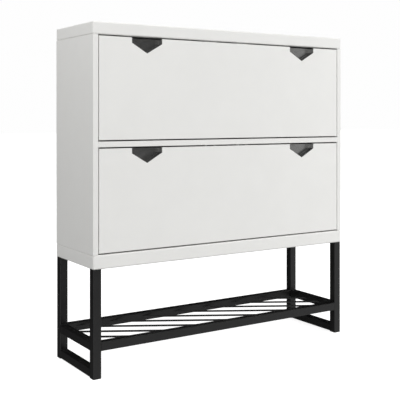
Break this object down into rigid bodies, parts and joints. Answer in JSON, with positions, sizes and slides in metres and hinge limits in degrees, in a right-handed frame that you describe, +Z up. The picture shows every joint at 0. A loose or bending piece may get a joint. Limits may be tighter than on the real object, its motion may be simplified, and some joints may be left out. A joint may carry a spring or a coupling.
{
  "type": "shoe cabinet",
  "caption": "Slim free-standing shoe cabinet: white box with tilting flap bins that have house-shaped finger pulls, on a black square-tube stand with a slanting wire rack.",
  "frame": {"origin": "on the floor, under the middle of the cabinet's footprint", "axes": "+Z up; +Y to the rear, so the flaps face -Y; +X to the right as seen from the front"},
  "size_m": [0.924, 0.262, 1],
  "materials": {
    "white_board": "white melamine-faced board with matching edge band, satin",
    "bin_board": "white melamine-faced thin board, satin",
    "back_board": "hardboard, raw brown on the outside and lacquered white on the inside",
    "black_steel": "black powder coat, fine texture",
    "foot_plastic": "black polyethylene",
    "zinc_fittings": "bright zinc plate",
    "steel_fixings": "zinc-plated steel",
    "beech": "plain beech",
    "white_plastic": "moulded white nylon",
    "pin_steel": "ground steel",
    "magnet": "dark ferrite",
    "dark_pull": "gunmetal grey coat, satin",
    "grey_plastic": "moulded grey ABS, fine spark texture"
  },
  "bodies": {
    "root": {"top_panel": "white_board", "bottom_panel": "white_board", "side_panel_left": "white_board", "side_panel_right": "white_board", "divider_panel": "white_board", "back_panel": "back_board", "leg_front_left": "black_steel", "leg_front_right": "black_steel", "leg_rear_left": "black_steel", "leg_rear_right": "black_steel", "foot_bar_left": "black_steel", "foot_bar_right": "black_steel", "rack_side_rail_left": "black_steel", "rack_side_rail_right": "black_steel", "rack_rail_front": "black_steel", "rack_rail_rear": "black_steel", "rack_wires": "black_steel", "mount_strap_left": "black_steel", "mount_strap_right": "black_steel", "foot_plugs": "foot_plastic", "cam_locks": "zinc_fittings", "wall_bracket_left": "zinc_fittings", "wall_bracket_right": "zinc_fittings", "cam_bolts": "steel_fixings", "back_panel_nails": "steel_fixings", "frame_screws": "steel_fixings", "wall_bracket_screws": "steel_fixings", "catch_screws": "steel_fixings", "dowels": "beech", "pivot_bushes": "white_plastic", "catch_housings": "white_plastic", "stop_pins": "pin_steel", "catch_magnets": "magnet"},
    "lower_flap": {"lower_flap_panel": "white_board", "lower_bin_floor": "bin_board", "lower_bin_shelf": "bin_board", "lower_bin_lips": "bin_board", "lower_pull_left": "dark_pull", "lower_pull_right": "dark_pull", "lower_bracket_left": "grey_plastic", "lower_bracket_right": "grey_plastic", "lower_pivot_pins": "pin_steel", "lower_strike_plates": "zinc_fittings", "lower_bracket_screws": "steel_fixings", "lower_pull_screws": "steel_fixings", "lower_strike_screws": "steel_fixings"},
    "upper_flap": {"upper_flap_panel": "white_board", "upper_bin_floor": "bin_board", "upper_bin_shelf": "bin_board", "upper_bin_lips": "bin_board", "upper_pull_left": "dark_pull", "upper_pull_right": "dark_pull", "upper_bracket_left": "grey_plastic", "upper_bracket_right": "grey_plastic", "upper_pivot_pins": "pin_steel", "upper_strike_plates": "zinc_fittings", "upper_bracket_screws": "steel_fixings", "upper_pull_screws": "steel_fixings", "upper_strike_screws": "steel_fixings"}
  },
  "joints": [
    {"name": "lower_flap_tilt", "type": "hinge", "parent": "root", "child": "lower_flap", "pos_m": [0, -0.123, 0.368], "axis": [1, 0, 0], "range_deg": [0, 45]},
    {"name": "upper_flap_tilt", "type": "hinge", "parent": "root", "child": "upper_flap", "pos_m": [0, -0.123, 0.685], "axis": [1, 0, 0], "range_deg": [0, 45]}
  ]
}
